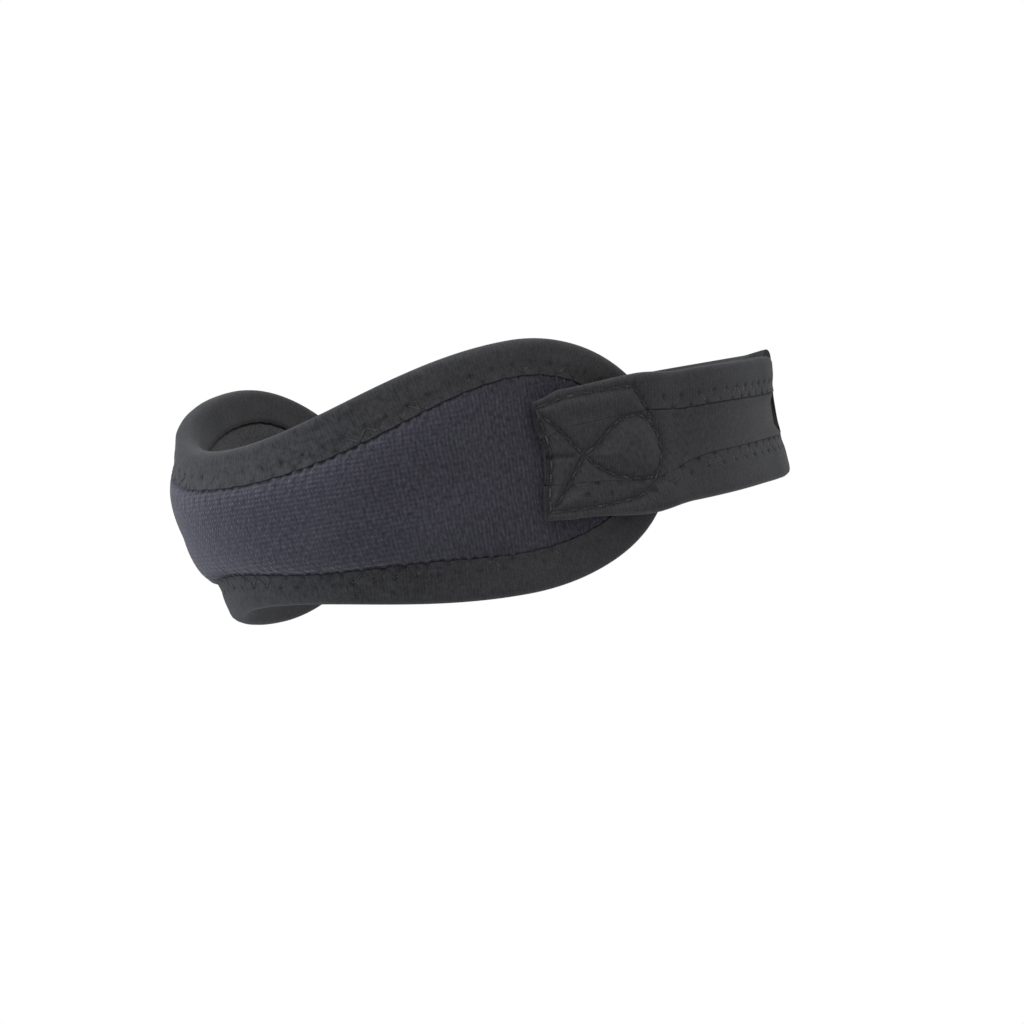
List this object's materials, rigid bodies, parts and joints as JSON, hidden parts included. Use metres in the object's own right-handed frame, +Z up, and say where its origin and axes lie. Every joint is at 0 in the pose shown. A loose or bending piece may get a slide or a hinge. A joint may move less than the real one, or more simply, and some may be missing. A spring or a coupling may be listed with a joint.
{
  "type": "knee support",
  "caption": "Patella strap: a padded bow-tie front bound in ribbed tape, with bound straps that lap at the back of the leg.",
  "frame": {"origin": "on the leg's axis at the middle height of the strap", "axes": "+Z up the leg, -Y to the front of the knee, +X to the wearer's left"},
  "size_m": [0.1196, 0.1277, 0.0476],
  "materials": {
    "pad_jersey": "matte blue-grey jersey",
    "binding_tape": "matte black ribbed elastic tape",
    "strap_jersey": "matte black jersey",
    "hook_and_loop": "black hook-and-loop pile"
  },
  "bodies": {
    "root": {"front_pad": "pad_jersey", "pad_binding": "binding_tape", "left_strap": "strap_jersey", "left_strap_top_binding": "binding_tape", "left_strap_bottom_binding": "binding_tape", "right_strap": "strap_jersey", "right_strap_top_binding": "binding_tape", "right_strap_bottom_binding": "binding_tape", "closure_patch": "hook_and_loop"}
  },
  "joints": []
}
